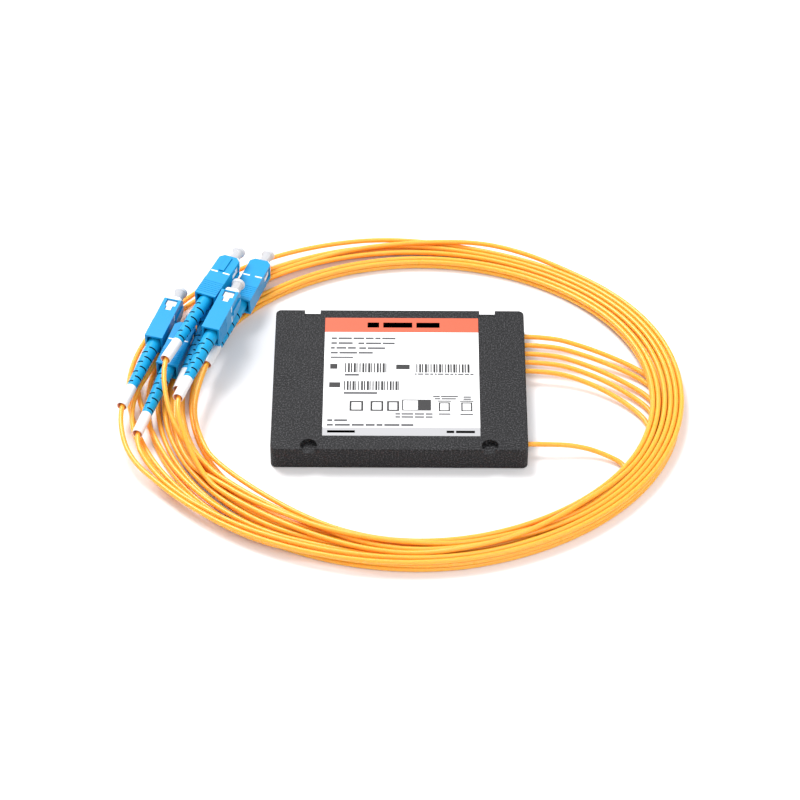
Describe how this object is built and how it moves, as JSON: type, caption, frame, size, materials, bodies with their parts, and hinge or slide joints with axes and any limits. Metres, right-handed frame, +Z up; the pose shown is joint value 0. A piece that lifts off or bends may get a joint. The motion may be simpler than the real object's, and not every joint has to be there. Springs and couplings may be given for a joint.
{
  "type": "optical fibre splitter module",
  "caption": "Flat black splitter case with jacketed fibres wound in one loose coil, each ended in a square push-pull plug with boot and dust cap.",
  "frame": {"origin": "middle of the case's underside", "axes": "+X along the case's long side towards the fibre exits, +Y to the back, away from the single input exit, +Z up out of the lid"},
  "size_m": [0.224, 0.189, 0.0231],
  "materials": {
    "case_plastic": "fine moulded grain",
    "label_film": "printed adhesive film",
    "anchor_plastic": "moulded",
    "package_steel": "drawn tube",
    "seal_rubber": "soft",
    "silica": "polished",
    "buffer_plastic": "extruded",
    "jacket": "satin extruded jacket",
    "plug_blue": "satin moulded",
    "plug_white": "satin moulded",
    "zirconia": "polished",
    "plug_metal": "plain",
    "boot_blue": "satin moulded",
    "marker_white": "satin tube",
    "cap_clear": "translucent"
  },
  "bodies": {
    "root": {"case_base": "case_plastic", "case_lid": "case_plastic", "label": "label_film", "jacket_anchors": "anchor_plastic", "splitter_tube": "package_steel", "tube_end_seals": "seal_rubber", "splitter_chip": "silica", "fibre_arrays": "silica", "inner_fibres": "buffer_plastic", "fibre_coil": "jacket", "pigtail_1": "jacket", "pigtail_2": "jacket", "pigtail_3": "jacket", "pigtail_4": "jacket", "pigtail_5": "jacket", "pigtail_6": "jacket", "plug_frame_1": "plug_white", "plug_frame_2": "plug_white", "plug_frame_3": "plug_white", "plug_frame_4": "plug_white", "plug_frame_5": "plug_white", "plug_frame_6": "plug_white", "stop_rings": "plug_metal", "crimp_sleeves": "plug_metal", "boot_1": "boot_blue", "boot_2": "boot_blue", "boot_3": "boot_blue", "boot_4": "boot_blue", "boot_5": "boot_blue", "boot_6": "boot_blue", "marker_sleeve_1": "marker_white", "marker_sleeve_2": "marker_white", "marker_sleeve_3": "marker_white", "marker_sleeve_4": "marker_white", "marker_sleeve_5": "marker_white", "marker_sleeve_6": "marker_white", "spring_1": "plug_metal", "spring_2": "plug_metal", "spring_3": "plug_metal", "spring_4": "plug_metal", "spring_5": "plug_metal", "spring_6": "plug_metal"},
    "grip_1": {"coupling_sleeve_1": "plug_blue"},
    "tip_1": {"ferrule_1": "zirconia"},
    "cap_1": {"dust_cap_1": "cap_clear"},
    "grip_2": {"coupling_sleeve_2": "plug_blue"},
    "tip_2": {"ferrule_2": "zirconia"},
    "cap_2": {"dust_cap_2": "cap_clear"},
    "grip_3": {"coupling_sleeve_3": "plug_blue"},
    "tip_3": {"ferrule_3": "zirconia"},
    "cap_3": {"dust_cap_3": "cap_clear"},
    "grip_4": {"coupling_sleeve_4": "plug_blue"},
    "tip_4": {"ferrule_4": "zirconia"},
    "cap_4": {"dust_cap_4": "cap_clear"},
    "grip_5": {"coupling_sleeve_5": "plug_blue"},
    "tip_5": {"ferrule_5": "zirconia"},
    "cap_5": {"dust_cap_5": "cap_clear"},
    "grip_6": {"coupling_sleeve_6": "plug_blue"},
    "tip_6": {"ferrule_6": "zirconia"},
    "cap_6": {"dust_cap_6": "cap_clear"}
  },
  "joints": [
    {"name": "grip_slide_1", "type": "slide", "parent": "root", "child": "grip_1", "axis": [-0.2857, -0.9583, 0], "range_m": [0, 0.002]},
    {"name": "ferrule_push_1", "type": "slide", "parent": "root", "child": "tip_1", "axis": [-0.2857, -0.9583, 0], "range_m": [0, 0.001], "stiffness_N_per_m": 1000, "springref_m": -0.005, "deforming": ["spring_1"]},
    {"name": "cap_pull_1", "type": "slide", "parent": "tip_1", "child": "cap_1", "axis": [0.2857, 0.9583, 0], "range_m": [0, 0.008]},
    {"name": "grip_slide_2", "type": "slide", "parent": "root", "child": "grip_2", "axis": [-0.2622, -0.965, 0], "range_m": [0, 0.002]},
    {"name": "ferrule_push_2", "type": "slide", "parent": "root", "child": "tip_2", "axis": [-0.2622, -0.965, 0], "range_m": [0, 0.001], "stiffness_N_per_m": 1000, "springref_m": -0.005, "deforming": ["spring_2"]},
    {"name": "cap_pull_2", "type": "slide", "parent": "tip_2", "child": "cap_2", "axis": [0.2622, 0.965, 0], "range_m": [0, 0.008]},
    {"name": "grip_slide_3", "type": "slide", "parent": "root", "child": "grip_3", "axis": [-0.3827, -0.9239, 0], "range_m": [0, 0.002]},
    {"name": "ferrule_push_3", "type": "slide", "parent": "root", "child": "tip_3", "axis": [-0.3827, -0.9239, 0], "range_m": [0, 0.001], "stiffness_N_per_m": 1000, "springref_m": -0.005, "deforming": ["spring_3"]},
    {"name": "cap_pull_3", "type": "slide", "parent": "tip_3", "child": "cap_3", "axis": [0.3827, 0.9239, 0], "range_m": [0, 0.008]},
    {"name": "grip_slide_4", "type": "slide", "parent": "root", "child": "grip_4", "axis": [-0.2521, -0.9677, 0], "range_m": [0, 0.002]},
    {"name": "ferrule_push_4", "type": "slide", "parent": "root", "child": "tip_4", "axis": [-0.2521, -0.9677, 0], "range_m": [0, 0.001], "stiffness_N_per_m": 1000, "springref_m": -0.005, "deforming": ["spring_4"]},
    {"name": "cap_pull_4", "type": "slide", "parent": "tip_4", "child": "cap_4", "axis": [0.2521, 0.9677, 0], "range_m": [0, 0.008]},
    {"name": "grip_slide_5", "type": "slide", "parent": "root", "child": "grip_5", "axis": [-0.3024, -0.9532, 0], "range_m": [0, 0.002]},
    {"name": "ferrule_push_5", "type": "slide", "parent": "root", "child": "tip_5", "axis": [-0.3024, -0.9532, 0], "range_m": [0, 0.001], "stiffness_N_per_m": 1000, "springref_m": -0.005, "deforming": ["spring_5"]},
    {"name": "cap_pull_5", "type": "slide", "parent": "tip_5", "child": "cap_5", "axis": [0.3024, 0.9532, 0], "range_m": [0, 0.008]},
    {"name": "grip_slide_6", "type": "slide", "parent": "root", "child": "grip_6", "axis": [-0.3223, -0.9466, 0], "range_m": [0, 0.002]},
    {"name": "ferrule_push_6", "type": "slide", "parent": "root", "child": "tip_6", "axis": [-0.3223, -0.9466, 0], "range_m": [0, 0.001], "stiffness_N_per_m": 1000, "springref_m": -0.005, "deforming": ["spring_6"]},
    {"name": "cap_pull_6", "type": "slide", "parent": "tip_6", "child": "cap_6", "axis": [0.3223, 0.9466, 0], "range_m": [0, 0.008]}
  ]
}
